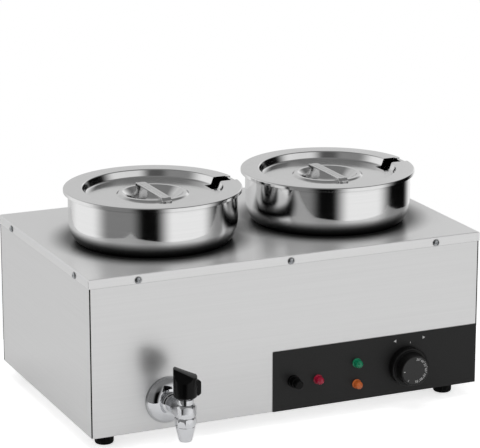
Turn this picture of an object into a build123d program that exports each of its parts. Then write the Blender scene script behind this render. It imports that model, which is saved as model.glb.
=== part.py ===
from build123d import *
import os
from math import asin, cos, radians, sin, tan

# Two-pot soup warmer. Millimetres, +X right, +Y to the back, +Z up, floor at z = 0.
# Places are worked out about the cabinet's middle and shifted once, when a piece is written.

# Cabinet
CABINET_W = 580.0
CABINET_D = 362.0
CABINET_H = 219.5
FOOT_H = 21.0
DECK_T = 1.2
PANEL_T = 1.0
SKIRT_H = 12.5
BEND_R = 1.8
FLOOR_Z = FOOT_H
DECK_Z = FOOT_H + CABINET_H
PANEL_X = CABINET_W / 2 - DECK_T
PANEL_Y = CABINET_D / 2 - DECK_T
PANEL_FOOT_Z = FLOOR_Z + PANEL_T
PANEL_HEAD_Z = DECK_Z - DECK_T
RETURN_W = 15.0

# Feet, base plate and earth stud
FOOT_X = 257.5
FOOT_Y = 142.5
FOOT_TOP_R = 13.8
FOOT_BOTTOM_R = 12.8
FOOT_ROUND = 3.0
FOOT_RECESS_R = 5.5
FOOT_RECESS = 15.0
FOOT_PLACES = [(sx * FOOT_X, sy * FOOT_Y) for sx in (-1, 1) for sy in (-1, 1)]
BASE_SCREW_EDGE = 9.0
BASE_SCREWS = [(x, sy * (PANEL_Y - BASE_SCREW_EDGE)) for x in (-180.0, 0.0, 180.0) for sy in (-1, 1)]
BASE_SCREWS += [(sx * (PANEL_X - BASE_SCREW_EDGE), 0.0) for sx in (-1, 1)]
VENT_L = 46.0
VENT_W = 5.0
VENT_STEP = 60.0
VENT_ROW_Y = 60.0
EARTH_X = 150.0
EARTH_Y = 148.0
EARTH_R = 2.5

# Skirt screws
SCREW_Z = FLOOR_Z + 211.5
LONG_SIDE_SCREWS = (-221.0, 0.0, 221.0)
SHORT_SIDE_SCREWS = (-127.0, 127.0)
SCREW_SHANK_R = 1.95
SCREW_HOLE_R = 2.0

# Pots and lids
POT_X = 133.5
POT_Y = -18.6
POT_T = 1.0
POT_WALL_R = 117.0
POT_WALL_FOOT = 29.0
SHOULDER_R = 49.0
SHOULDER_SLOPE = radians(44)
POT_LOWER_R = 100.0
POT_DEPTH = 132.0
POT_CORNER_R = 30.0
POT_RIM_R = 121.2
POT_RIM_H = 70.6
BEAD_R = 2.4
POT_SEAM = -14.0
POT_BASE_SEAM = -95.0
HOLE_R = 108.0
COLLAR_H = 8.0
LID_T = 1.0
LID_R = 123.1
LID_TOP = 72.0
LID_LIP_H = 5.0
LID_RECESS_R = 97.0
LID_RECESS = 10.5
RIDGE_H = 2.4
DISH_R = 41.0
DISH_DEPTH = 14.0
RIDGE_IN = 42.5
RIDGE_OUT = 50.0
NOTCH_W = 25.0
NOTCH_START = 83.0
STRAP_L = 100.0
STRAP_W = 14.0
STRAP_T = 2.0
STRAP_RISE = 3.6

# Water tank
TANK_X = 262.0
TANK_FRONT = -131.0
TANK_BACK = 161.0
TANK_Z = FLOOR_Z + 28.0
TANK_T = 1.0
TANK_CORNER_R = 25.0
TANK_FLOOR_R = 8.0
TANK_FLANGE = 12.0
ELEMENT_R = 4.0
ELEMENT_Z = FLOOR_Z + 48.0
ELEMENT_BEND_R = 22.0
ELEMENT_TERMINALS = (-110.0, -70.0)
BULKHEAD_R = 7.0
PROBE_X = 0.0
PROBE_Z = FLOOR_Z + 72.0
PROBE_R = 5.0
BULB_PORT_X = 222.0
BULB_Z = FLOOR_Z + 48.0
BULB_Y = TANK_FRONT + 18.0
BULB_L = 71.0
BULB_R = 3.0

# Control panel, as seen from the front
CONTROL_LEFT = -26.0
CONTROL_RIGHT = PANEL_X - 0.3
CONTROL_T = 1.2
CONTROL_H = 85.6
CONTROL_FACE = PANEL_Y + CONTROL_T
DIAL_X = 178.2
DIAL_Z = FLOOR_Z + 40.0
RESET_X = 4.0
RESET_Z = FLOOR_Z + 41.0
LAMPS = {
    "lamp_red": (41.7, FLOOR_Z + 38.2),
    "lamp_green": (101.0, FLOOR_Z + 53.7),
    "lamp_orange": (101.0, FLOOR_Z + 23.2),
}
DIAL_SKIRT_R = 27.5
DIAL_FACE_R = 21.5
DIAL_SKIRT_L = 13.0
DIAL_L = 28.0
DIAL_GAP = 1.0
SHAFT_R = 3.0
SHAFT_FLAT = 1.8
THERMOSTAT_SCREW_X = 14.0
BUSH_R = 4.75
LENS_NECK_R = 4.9
LENS_R = 6.7
LENS_DOME_R = 5.5
LENS_L = 12.4

# Drain tap
TAP_X = -180.0
TAP_Z = FLOOR_Z + 40.5
TAP_REACH = 60.0
TAP_Y = -PANEL_Y - TAP_REACH
SHANK_R = 10.2
TAP_BORE_R = 5.0
ESCUTCHEON_R = 31.75
ESCUTCHEON_H = 13.0
HEX_AF = 26.0
PLUG_R = 8.0
RUN_GAP = 0.05
STEM_R = 4.0
KNOB_R = 15.8
KNOB_FOOT = 23.0
KNOB_H = 39.0
HEX_TURN = -13.0
HEX_TOP = 13.5
HEX_FOOT = -4.0
COLLAR_FOOT = -17.0
SPOUT_END = -38.0

# Cable gland in the back panel
GLAND_X = 220.0
GLAND_Z = FLOOR_Z + 30.0
GLAND_REACH = 22.0
GLAND_THREAD_R = 10.0
CORD_R = 4.5

# Mains terminal block on the base plate
BLOCK_X = 220.0
BLOCK_Y = 138.0
BLOCK_PITCH = 19.0

# The part's own frame stands midway between the knob's front and the gland's back.
KNOB_FRONT = -TAP_Y + KNOB_R
GLAND_BACK = PANEL_Y + GLAND_REACH
BODY_Y = (KNOB_FRONT - GLAND_BACK) / 2


def write(name, shape):
    """Write one piece, shifted into the part's own frame."""
    moved = shape.moved(Location((0, BODY_Y, 0)))
    export_step(moved, f"parts/{name}.step")


def group(pieces):
    """Several like pieces in one node, each its own solid."""
    return Compound([solid for piece in pieces for solid in piece.solids()])


def block(x0, x1, y0, y1, z0, z1):
    """A box given by its limits."""
    centre = Pos((x0 + x1) / 2, (y0 + y1) / 2, (z0 + z1) / 2)
    return centre * Box(x1 - x0, y1 - y0, z1 - z0)


def post(x, y, z0, z1, r):
    """An upright round bar or hole."""
    return Pos(x, y, (z0 + z1) / 2) * Cylinder(r, z1 - z0)


def bar_y(x, z, y0, y1, r):
    """A round bar or hole along Y."""
    return Pos(x, (y0 + y1) / 2, z) * Rot(90, 0, 0) * Cylinder(r, y1 - y0)


def bar_x(y, z, x0, x1, r):
    """A round bar or hole along X."""
    return Pos((x0 + x1) / 2, y, z) * Rot(0, 90, 0) * Cylinder(r, x1 - x0)


def spun(*edges):
    """A closed outline of edges in the XZ plane, turned about Z."""
    return revolve(make_face(Wire(list(edges))), Axis.Z)


def turned(points):
    """A closed outline of straight sides in the XZ plane, turned about Z."""
    corners = [(r, 0, z) for r, z in points]
    return revolve(make_face(Polyline(*corners, close=True)), Axis.Z)


def cap_arc(r, low, high):
    """A round cap's arc in the XZ plane, from radius r at height low to the axis at height high."""
    rise = high - low
    cap_r = (r * r + rise * rise) / (2 * rise)
    centre = high - cap_r
    half = asin(r / cap_r) / 2
    return ThreePointArc((r, 0, low), (cap_r * sin(half), 0, centre + cap_r * cos(half)), (0, 0, high))


def pressed_sheet(points, radii, thickness, side):
    """A pressed sheet's section, turned about Z: a filleted path and its parallel on one side."""
    path = FilletPolyline(*points, radius=radii)
    section = make_face(path.offset_2d(thickness, kind=Kind.INTERSECTION, side=side, closed=True))
    return revolve(Plane.XZ * section, Axis.Z)


def facing_front(shape, x, y, z):
    """Turn a shape made about Z so that its +Z points to the front, and put it in place."""
    return Pos(x, y, z) * Rot(90, 0, 0) * shape


def facing_back(shape, x, y, z):
    """Turn a shape made about Z so that its +Z points to the back, and put it in place."""
    return Pos(x, y, z) * Rot(-90, 0, 0) * shape


def hexagon(across_flats, height):
    """A hexagonal bar standing on z = 0."""
    return extrude(RegularPolygon(across_flats / 2, 6, major_radius=False), height)


def pan_head_screw(head_r, head_h, shank_r, shank_l):
    """A screw about Z: domed head above z = 0, shank below."""
    rim = head_h * 0.45
    head = spun(
        Line((0, 0, 0), (head_r, 0, 0)),
        Line((head_r, 0, 0), (head_r, 0, rim)),
        cap_arc(head_r, rim, head_h),
        Line((0, 0, head_h), (0, 0, 0)),
    )
    return head + Pos(0, 0, -shank_l / 2) * Cylinder(shank_r, shank_l)


def skirt_screw_places():
    """Each skirt screw's place on the panel's outer face, with the turn that points its head outwards."""
    places = []
    for x in LONG_SIDE_SCREWS:
        places.append(Pos(x, -CABINET_D / 2, SCREW_Z) * Rot(90, 0, 0))
        places.append(Pos(x, CABINET_D / 2, SCREW_Z) * Rot(-90, 0, 0))
    for y in SHORT_SIDE_SCREWS:
        places.append(Pos(-CABINET_W / 2, y, SCREW_Z) * Rot(0, -90, 0))
        places.append(Pos(CABINET_W / 2, y, SCREW_Z) * Rot(0, 90, 0))
    return places


def skirt_screw_holes():
    """Clearance holes through skirt and panels at every skirt screw."""
    return [place * Cylinder(SCREW_HOLE_R, 12) for place in skirt_screw_places()]


def base_screw_holes():
    """Clearance holes for the screws that come up through the base plate."""
    return [post(x, y, FLOOR_Z - 2, PANEL_FOOT_Z + 3, SCREW_HOLE_R) for x, y in BASE_SCREWS]


def deck():
    """Folded top: flat sheet, skirt on four sides, two collared pot holes."""
    middle = DECK_Z - SKIRT_H / 2
    pan = Pos(0, 0, middle) * Box(CABINET_W, CABINET_D, SKIRT_H)
    pan = fillet(pan.faces().sort_by(Axis.Z)[-1].edges(), BEND_R)
    inside = Box(CABINET_W - 2 * DECK_T, CABINET_D - 2 * DECK_T, SKIRT_H)
    pan -= Pos(0, 0, middle - DECK_T) * inside
    for x in (-POT_X, POT_X):
        pan += post(x, POT_Y, DECK_Z - DECK_T - COLLAR_H, DECK_Z - 0.2, HOLE_R + DECK_T)
        pan -= post(x, POT_Y, DECK_Z - 30, DECK_Z + 5, HOLE_R)
    corner_gap = 0.8
    for sx in (-1, 1):
        for sy in (-1, 1):
            x = sx * (CABINET_W / 2 - DECK_T / 2)
            y = sy * (CABINET_D / 2 - DECK_T - corner_gap / 2)
            pan -= Pos(x, y, DECK_Z - SKIRT_H) * Box(DECK_T, corner_gap, 2 * (SKIRT_H - BEND_R))
    return pan - skirt_screw_holes()


def long_panel(side):
    """Front (side -1) or back (side +1) sheet with end returns and a bottom return."""
    def span(x0, x1, d0, d1, z0, z1):
        ys = sorted((side * (PANEL_Y - d0), side * (PANEL_Y - d1)))
        return block(x0, x1, ys[0], ys[1], z0, z1)
    sheet = span(-PANEL_X, PANEL_X, 0, PANEL_T, PANEL_FOOT_Z, PANEL_HEAD_Z)
    reach = PANEL_T + RETURN_W
    sheet += span(-PANEL_X + 18, PANEL_X - 18, PANEL_T, reach, PANEL_FOOT_Z, PANEL_FOOT_Z + PANEL_T)
    for sx in (-1, 1):
        xs = sorted((sx * (PANEL_X - PANEL_T), sx * (PANEL_X - 2 * PANEL_T)))
        sheet += span(xs[0], xs[1], PANEL_T, reach, PANEL_FOOT_Z + 6, SCREW_Z - 8)
    return sheet - base_screw_holes()


def front_panel():
    """Front sheet with the tap hole and the window behind the control panel."""
    sheet = long_panel(-1)
    sheet -= bar_y(TAP_X, TAP_Z, -PANEL_Y - 5, -PANEL_Y + 5, SHANK_R + 0.2)
    sheet -= block(CONTROL_LEFT + 10, CONTROL_RIGHT - 12, -PANEL_Y - 1, -PANEL_Y + PANEL_T + 0.5, FLOOR_Z + 8,
                   FLOOR_Z + CONTROL_H - 8)
    return sheet - skirt_screw_holes()


def back_panel():
    """Back sheet with the gland hole."""
    sheet = long_panel(1)
    sheet -= bar_y(GLAND_X, GLAND_Z, PANEL_Y - 3, PANEL_Y + 3, GLAND_THREAD_R + 0.2)
    return sheet - skirt_screw_holes()


def side_panel(side):
    """Left (side -1) or right (side +1) sheet with a bottom return."""
    xs = sorted((side * PANEL_X, side * (PANEL_X - PANEL_T)))
    lip = sorted((side * (PANEL_X - PANEL_T), side * (PANEL_X - PANEL_T - RETURN_W)))
    y = PANEL_Y - PANEL_T
    sheet = block(xs[0], xs[1], -y, y, PANEL_FOOT_Z, PANEL_HEAD_Z)
    sheet += block(lip[0], lip[1], -y + 18, y - 18, PANEL_FOOT_Z, PANEL_FOOT_Z + PANEL_T)
    return sheet - base_screw_holes() - skirt_screw_holes()


def base_plate():
    """Flat bottom sheet with two rows of vent slots."""
    inset = 0.5
    plate = block(-PANEL_X + inset, PANEL_X - inset, -PANEL_Y + inset, PANEL_Y - inset, FLOOR_Z, PANEL_FOOT_Z)
    slot = extrude(SlotOverall(VENT_L, VENT_W), 6)
    for y in (-VENT_ROW_Y, VENT_ROW_Y):
        for i in range(-3, 4):
            plate -= Pos(VENT_STEP * i, y, FLOOR_Z - 3) * Rot(0, 0, 90) * slot
    for x, y in FOOT_PLACES:
        plate -= post(x, y, FLOOR_Z - 2, PANEL_FOOT_Z + 2, SCREW_HOLE_R)
    return plate - base_screw_holes() - post(EARTH_X, EARTH_Y, FLOOR_Z - 2, PANEL_FOOT_Z + 2, EARTH_R + 0.05)


def feet():
    """Four tapered rubber feet with a round lower edge and a deep recess for the screw head."""
    hole = SCREW_SHANK_R + 0.2
    edge = FOOT_BOTTOM_R - FOOT_ROUND
    arc_mid = FOOT_ROUND * (1 - cos(radians(45)))
    foot = spun(
        Line((hole, 0, FOOT_H), (FOOT_TOP_R, 0, FOOT_H)),
        Line((FOOT_TOP_R, 0, FOOT_H), (FOOT_BOTTOM_R, 0, FOOT_ROUND)),
        ThreePointArc((FOOT_BOTTOM_R, 0, FOOT_ROUND), (FOOT_BOTTOM_R - arc_mid, 0, arc_mid), (edge, 0, 0)),
        Line((edge, 0, 0), (FOOT_RECESS_R, 0, 0)),
        Line((FOOT_RECESS_R, 0, 0), (FOOT_RECESS_R, 0, FOOT_RECESS)),
        Line((FOOT_RECESS_R, 0, FOOT_RECESS), (hole, 0, FOOT_RECESS)),
        Line((hole, 0, FOOT_RECESS), (hole, 0, FOOT_H)),
    )
    return group(Pos(x, y, 0) * foot for x, y in FOOT_PLACES)


def foot_screws():
    """Screws up through the feet into their nuts, heads inside the feet's recesses."""
    screw = Pos(0, 0, FOOT_RECESS) * Rot(180, 0, 0) * pan_head_screw(4.0, 2.6, SCREW_SHANK_R, 11)
    return group(Pos(x, y, 0) * screw for x, y in FOOT_PLACES)


def foot_nuts():
    """Hexagon nuts on top of the base plate."""
    nut = hexagon(7, 3.2) - Cylinder(SCREW_HOLE_R, 20)
    return group(Pos(x, y, PANEL_FOOT_Z) * nut for x, y in FOOT_PLACES)


def base_screws():
    """Screws up through the base plate into the panels' bottom returns."""
    screw = Pos(0, 0, FLOOR_Z) * Rot(180, 0, 0) * pan_head_screw(3.8, 2.4, SCREW_SHANK_R, 6)
    return group(Pos(x, y, 0) * screw for x, y in BASE_SCREWS)


def deck_screws():
    """Domed screws that hold the deck's skirt to the panels."""
    screw = pan_head_screw(4.3, 2.6, SCREW_SHANK_R, 7)
    return group(place * screw for place in skirt_screw_places())


def rounded_box(x, y0, y1, z0, z1, corner_r, floor_r):
    """A box with round upright corners and a round bottom edge."""
    body = block(-x, x, y0, y1, z0, z1)
    body = fillet(body.edges().filter_by(Axis.Z), corner_r)
    return fillet(body.faces().sort_by(Axis.Z)[0].edges(), floor_r)


def water_tank():
    """Pressed tank with a flange under the deck, and its bulkhead holes."""
    top = DECK_Z - DECK_T
    t = TANK_T
    tank = rounded_box(TANK_X, TANK_FRONT, TANK_BACK, TANK_Z, top, TANK_CORNER_R, TANK_FLOOR_R)
    flange = block(-TANK_X - TANK_FLANGE, TANK_X + TANK_FLANGE, TANK_FRONT - TANK_FLANGE,
                   TANK_BACK + TANK_FLANGE, top - t, top)
    tank += fillet(flange.edges().filter_by(Axis.Z), TANK_CORNER_R + TANK_FLANGE)
    tank -= rounded_box(TANK_X - t, TANK_FRONT + t, TANK_BACK - t, TANK_Z + t, top + 10, TANK_CORNER_R - t,
                        TANK_FLOOR_R - t)
    y = TANK_FRONT
    tank -= bar_y(TAP_X, TAP_Z, y - 3, y + 3, 8.0)
    for x in ELEMENT_TERMINALS:
        tank -= bar_y(x, ELEMENT_Z, y - 3, y + 3, BULKHEAD_R + 0.1)
    tank -= bar_y(PROBE_X, PROBE_Z, y - 3, y + 3, PROBE_R + 0.1)
    return tank - bar_y(BULB_PORT_X, BULB_Z, y - 3, y + 3, 5.1)


def heating_element():
    """Tubular element: one loop round the tank floor, both ends through the front wall."""
    a, b = ELEMENT_TERMINALS
    near = TANK_FRONT + 38
    far = TANK_BACK - 42
    side = TANK_X - 38
    end = TANK_FRONT - 24
    corners = [(a, end), (a, near), (-side, near), (-side, far), (side, far), (side, near), (b, near), (b, end)]
    path = FilletPolyline(*[(x, y, ELEMENT_Z) for x, y in corners], radius=ELEMENT_BEND_R)
    section = Plane(origin=path @ 0, z_dir=path % 0) * Circle(ELEMENT_R)
    return sweep(section, path=path)


def element_nuts():
    """A flanged brass bulkhead at each end of the element: collar inside, thread through, nut outside."""
    bore = ELEMENT_R + RUN_GAP
    thread_l = 12
    bulkhead = turned([(bore, 0), (BULKHEAD_R, 0), (BULKHEAD_R, thread_l), (9.5, thread_l), (9.5, thread_l + 3),
                       (bore, thread_l + 3)])
    nut = hexagon(19, 5) - Cylinder(BULKHEAD_R, 20)
    out = []
    for x in ELEMENT_TERMINALS:
        out.append(facing_back(bulkhead, x, TANK_FRONT + TANK_T - thread_l, ELEMENT_Z))
        out.append(facing_front(nut, x, TANK_FRONT, ELEMENT_Z))
    return group(out)


def level_probe():
    """Low-water probe: hexagon outside the tank's front wall, rod inside."""
    y = TANK_FRONT
    body = facing_front(hexagon(14, 7), PROBE_X, y, PROBE_Z)
    body += bar_y(PROBE_X, PROBE_Z, y - 14, y + 6, PROBE_R)
    return body + bar_y(PROBE_X, PROBE_Z, y, y + 34, 2.0)


def pot_wall():
    """Upper part of a pot about Z: rolled rim, round wall, shoulder that sits in the deck's hole."""
    z = DECK_Z
    rim_top = z + POT_RIM_H
    half_slope = SHOULDER_SLOPE / 2
    corner_z = z + POT_WALL_FOOT - SHOULDER_R * tan(half_slope)
    well_z = corner_z - (POT_WALL_R - POT_LOWER_R) / tan(SHOULDER_SLOPE)
    outline = [
        (POT_RIM_R - BEAD_R, rim_top - POT_T), (POT_WALL_R, rim_top - POT_T), (POT_WALL_R, corner_z),
        (POT_LOWER_R, well_z), (POT_LOWER_R, z + POT_SEAM),
    ]
    shell = pressed_sheet(outline, [1.2, SHOULDER_R, 5.0], POT_T, Side.RIGHT)
    bead = Pos(0, 0, rim_top - BEAD_R) * Torus(POT_RIM_R - BEAD_R, BEAD_R)
    return shell + bead


def pot_well():
    """Middle part of a pot about Z: the straight wall from the upper seam to the lower one."""
    low = DECK_Z + POT_BASE_SEAM
    high = DECK_Z + POT_SEAM
    inner = POT_LOWER_R - POT_T
    return turned([(inner, low), (POT_LOWER_R, low), (POT_LOWER_R, high), (inner, high)])


def pot_base():
    """Lower part of a pot about Z, below the lower seam: round corner and flat bottom."""
    foot = DECK_Z - POT_DEPTH
    outline = [(POT_LOWER_R, DECK_Z + POT_BASE_SEAM), (POT_LOWER_R, foot), (0, foot)]
    return pressed_sheet(outline, [POT_CORNER_R], POT_T, Side.RIGHT)


def lid():
    """Pressed lid about Z: dish, ridge ring, plate, recess, flat flange and lip, with a ladle notch to +X."""
    top = DECK_Z + LID_TOP
    plate = top - LID_RECESS
    crown = plate + RIDGE_H
    sink = plate - DISH_DEPTH
    outline = [
        (0, sink), (DISH_R - 17, sink), (RIDGE_IN, crown), (RIDGE_IN + 4.5, crown), (RIDGE_OUT, plate),
        (LID_RECESS_R - 4, plate), (LID_RECESS_R, top), (LID_R, top), (LID_R, top - LID_LIP_H),
    ]
    body = pressed_sheet(outline, [35.0, 1.6, 1.6, 1.6, 3.0, 2.4, 1.8], LID_T, Side.RIGHT)
    cut = block(NOTCH_START, LID_R + 5, -NOTCH_W / 2, NOTCH_W / 2, plate - 5, top + 5)
    return body - cut


def lid_handle():
    """Strap handle about the lid's centre: a grooved bar over the dish, with cranked feet on the plate."""
    plate = DECK_Z + LID_TOP - LID_RECESS
    reach = STRAP_L / 2
    rise = plate + STRAP_RISE
    side = Polyline(
        (0, reach + 5, plate), (0, reach + 1.5, plate), (0, reach - 3, rise), (0, -reach + 3, rise),
        (0, -reach - 1.5, plate), (0, -reach - 5, plate), (0, -reach - 5, plate + STRAP_T),
        (0, -reach - 0.3, plate + STRAP_T), (0, -reach + 4.2, rise + STRAP_T), (0, reach - 4.2, rise + STRAP_T),
        (0, reach + 0.3, plate + STRAP_T), (0, reach + 5, plate + STRAP_T), close=True)
    strap = extrude(make_face(side), STRAP_W / 2, both=True, dir=(1, 0, 0))
    groove = Pos(0, 0, rise + STRAP_T) * Rot(90, 0, 0) * extrude(SlotOverall(STRAP_W * 0.42, 1.2), STRAP_L / 2 - 12,
                                                                  both=True)
    return strap - groove


def tap_escutcheon():
    """Domed chrome flange against the front panel."""
    r = ESCUTCHEON_R
    h = ESCUTCHEON_H
    hole = SHANK_R + 0.3
    dome = spun(
        Line((r - 1.4, 0, 0), (r, 0, 0)),
        Line((r, 0, 0), (r, 0, 1.6)),
        ThreePointArc((r, 0, 1.6), (r * 0.80, 0, h * 0.72), (r * 0.42, 0, h)),
        Line((r * 0.42, 0, h), (hole, 0, h)),
        Line((hole, 0, h), (hole, 0, h - 1.6)),
        Line((hole, 0, h - 1.6), (r * 0.40, 0, h - 1.6)),
        ThreePointArc((r * 0.40, 0, h - 1.6), (r * 0.74, 0, h * 0.66), (r - 1.4, 0, 0)),
    )
    return facing_front(dome, TAP_X, -PANEL_Y, TAP_Z)


def tap_body():
    """Tap casting: shank and neck along Y, hexagon, facets and conical spout about Z, with its bores."""
    neck_start = -PANEL_Y - ESCUTCHEON_H
    shank_end = TANK_FRONT - 8
    body = bar_y(TAP_X, TAP_Z, neck_start, shank_end, SHANK_R)
    ring = turned([(0, 0), (13.2, 0), (14.2, 1), (14.2, 3.4), (13.2, 4.4), (11.6, 5.4), (11.0, 8), (11.0, 40),
                   (0, 40)])
    body += facing_front(ring, TAP_X, neck_start, TAP_Z)
    top = HEX_TOP
    step = HEX_FOOT
    low = COLLAR_FOOT
    hexagon_block = Pos(0, 0, step) * Rot(0, 0, HEX_TURN) * hexagon(HEX_AF, top - step)
    chamfer = turned([(0, step), (13.4, step), (15.1, step + 2.6), (15.1, top - 4.2), (11.5, top), (0, top)])
    valve = hexagon_block & chamfer
    facets = Pos(0, 0, low) * extrude(RegularPolygon(13.4, 8, major_radius=False), step - low)
    skirt = turned([(0, low), (12.9, low), (14.3, low + 2.5), (14.3, step - 2), (12.6, step), (0, step)])
    valve += facets & skirt
    valve += turned([(0, low), (13.1, low), (8.8, SPOUT_END + 1), (8.2, SPOUT_END), (0, SPOUT_END)])
    body += Pos(TAP_X, TAP_Y, TAP_Z) * valve
    cavity = post(0, 0, -9.1, top + 1, PLUG_R + RUN_GAP)
    outlet = post(0, 0, -40, 0, TAP_BORE_R)
    body -= Pos(TAP_X, TAP_Y, TAP_Z) * (cavity + outlet)
    return body - bar_y(TAP_X, TAP_Z, TAP_Y + 2, shank_end + 1, TAP_BORE_R)


def tap_bonnet():
    """Ring nut that keeps the plug in, round the stem."""
    hole = STEM_R + RUN_GAP
    top = KNOB_FOOT - 0.5
    ring = turned([(hole, 10.0), (PLUG_R, 10.0), (PLUG_R, HEX_TOP), (10.9, HEX_TOP), (10.9, top - 2.3),
                   (10.1, top - 1.3), (10.1, top), (hole, top)])
    return Pos(TAP_X, TAP_Y, TAP_Z) * ring


def tap_plug():
    """Round plug with an L-shaped port, on the stem that the knob turns. Closed at rest."""
    plug = turned([(0, -9), (PLUG_R, -9), (PLUG_R, 9.9), (STEM_R, 9.9), (STEM_R, 26), (0, 26)])
    plug += post(0, 0, 26, 40, 2.9)
    plug -= post(0, 0, -12, 0, 4.2)
    plug -= bar_x(0, 0, 0, 12, 4.2)
    return Pos(TAP_X, TAP_Y, TAP_Z) * plug


def tap_knob():
    """Moulded lever knob: round skirt, wing that slopes down to its nose, and a stop lug."""
    foot = KNOB_FOOT
    top = foot + KNOB_H
    base = turned([(0, foot), (KNOB_R - 1.5, foot), (KNOB_R, foot + 1.5), (KNOB_R, foot + 22), (0, foot + 22)])
    wing = post(0, 0, foot, top, KNOB_R)
    slope = Pos(0, 0, top - 5.5) * Rot(0, 0, -32) * Rot(0, 20, 0) * Box(90, 90, 60, align=(
        Align.CENTER, Align.CENTER, Align.MIN))
    scoop = Rot(0, 0, -32) * Pos(0, 34, top + 3) * Rot(0, 90, 0) * Cylinder(28, 80)
    scoop_near = Rot(0, 0, -32) * Pos(0, -33, top + 5) * Rot(0, 90, 0) * Cylinder(28, 80)
    knob = base + wing - slope - scoop - scoop_near
    lug = Pos(KNOB_R + 0.7, 0, foot + 11) * Box(9.5, 9, 22)
    lug = chamfer(lug.edges().filter_by(Axis.Y).sort_by(Axis.X)[-2:], 3)
    knob += fillet(lug.edges().filter_by(Axis.Z), 1.5)
    knob -= post(0, 0, foot - 1, 26, STEM_R)
    knob -= post(0, 0, 25, 40, 2.9)
    return Pos(TAP_X, TAP_Y, TAP_Z) * knob


def tap_gasket():
    """Rubber washer behind the front panel."""
    ring = turned([(SHANK_R + 0.3, 0), (17, 0), (17, 2), (SHANK_R + 0.3, 2)])
    return facing_back(ring, TAP_X, -PANEL_Y + PANEL_T, TAP_Z)


def tap_lock_nut():
    """Nut that clamps the tap to the front panel."""
    nut = hexagon(30, 6) - Cylinder(SHANK_R, 30)
    return facing_back(nut, TAP_X, -PANEL_Y + PANEL_T + 2, TAP_Z)


def drain_socket():
    """Socket welded to the tank's front wall, over the end of the tap's shank."""
    ring = turned([(8.0, 0), (15.5, 0), (15.5, 3), (13.5, 3), (13.5, 26), (SHANK_R, 26), (SHANK_R, 7), (8.0, 7)])
    return facing_front(ring, TAP_X, TANK_FRONT, TAP_Z)


def control_panel():
    """Black plate over the front panel's window, with the holes for its controls."""
    plate = block(CONTROL_LEFT, CONTROL_RIGHT, -CONTROL_FACE, -PANEL_Y, FLOOR_Z, FLOOR_Z + CONTROL_H)
    y0 = -CONTROL_FACE - 2
    y1 = -PANEL_Y + 2
    plate -= bar_y(DIAL_X, DIAL_Z, y0, y1, 5.2)
    for x in (-THERMOSTAT_SCREW_X, THERMOSTAT_SCREW_X):
        plate -= bar_y(DIAL_X + x, DIAL_Z, y0, y1, 2.0)
    plate -= bar_y(RESET_X, RESET_Z, y0, y1, BUSH_R + 0.05)
    for x, z in LAMPS.values():
        plate -= bar_y(x, z, y0, y1, LENS_NECK_R + 0.1)
    return plate


def thermostat_body():
    """Capillary thermostat behind the panel: case with a mounting neck and two spade terminals."""
    y = -PANEL_Y
    case = block(DIAL_X - 21, DIAL_X + 21, y + 4, y + 30, DIAL_Z - 20, DIAL_Z + 20)
    case = fillet(case.edges().filter_by(Axis.Y), 4)
    case += block(DIAL_X - 18, DIAL_X + 18, y, y + 4, DIAL_Z - 7, DIAL_Z + 7)
    for z in (-12.0, 12.0):
        case += block(DIAL_X - 28, DIAL_X - 20.5, y + 16, y + 16.8, DIAL_Z + z - 3.2, DIAL_Z + z + 3.2)
    case -= bar_y(DIAL_X, DIAL_Z, y - 1, y + 14, SHAFT_R + RUN_GAP)
    for x in (-THERMOSTAT_SCREW_X, THERMOSTAT_SCREW_X):
        case -= bar_y(DIAL_X + x, DIAL_Z, y - 1, y + 8, 1.95)
    return case


def thermostat_screws():
    """Two screws through the control panel, hidden behind the dial."""
    screw = pan_head_screw(3.4, 0.8, 1.9, 7)
    places = (DIAL_X - THERMOSTAT_SCREW_X, DIAL_X + THERMOSTAT_SCREW_X)
    return group(facing_front(screw, x, -CONTROL_FACE, DIAL_Z) for x in places)


def shaft_flat(y0):
    """What the driving flat takes off the spindle, from its front end."""
    return block(DIAL_X - 4, DIAL_X + 4, y0 - 1, y0 + 11, DIAL_Z + SHAFT_FLAT, DIAL_Z + 5)


def thermostat_shaft():
    """Thermostat spindle with its driving flat."""
    y0 = -CONTROL_FACE - DIAL_L + 9
    return bar_y(DIAL_X, DIAL_Z, y0, -PANEL_Y + 12, SHAFT_R) - shaft_flat(y0)


def thermostat_dial():
    """Moulded dial: hollow skirt with a rounded rim, raised barrel and flat face."""
    length = DIAL_L
    rim = DIAL_SKIRT_L
    body = spun(
        Line((0, 0, 5.0), (DIAL_SKIRT_R - 5, 0, 5.0)),
        Line((DIAL_SKIRT_R - 5, 0, 5.0), (DIAL_SKIRT_R - 5, 0, DIAL_GAP)),
        Line((DIAL_SKIRT_R - 5, 0, DIAL_GAP), (DIAL_SKIRT_R, 0, DIAL_GAP)),
        Line((DIAL_SKIRT_R, 0, DIAL_GAP), (DIAL_SKIRT_R, 0, rim - 2)),
        ThreePointArc((DIAL_SKIRT_R, 0, rim - 2), (DIAL_SKIRT_R - 0.6, 0, rim - 0.6), (DIAL_SKIRT_R - 2, 0, rim)),
        Line((DIAL_SKIRT_R - 2, 0, rim), (DIAL_FACE_R + 1.5, 0, rim - 1)),
        Line((DIAL_FACE_R + 1.5, 0, rim - 1), (DIAL_FACE_R, 0, length - 1.2)),
        ThreePointArc((DIAL_FACE_R, 0, length - 1.2), (DIAL_FACE_R - 0.35, 0, length - 0.35),
                      (DIAL_FACE_R - 1.2, 0, length)),
        Line((DIAL_FACE_R - 1.2, 0, length), (0, 0, length)),
        Line((0, 0, length), (0, 0, 5.0)),
    )
    y0 = -CONTROL_FACE - DIAL_L + 9
    dial = facing_front(body, DIAL_X, -CONTROL_FACE, DIAL_Z)
    bore = bar_y(DIAL_X, DIAL_Z, y0, -CONTROL_FACE, SHAFT_R)
    return dial - (bore - shaft_flat(y0))


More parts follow.
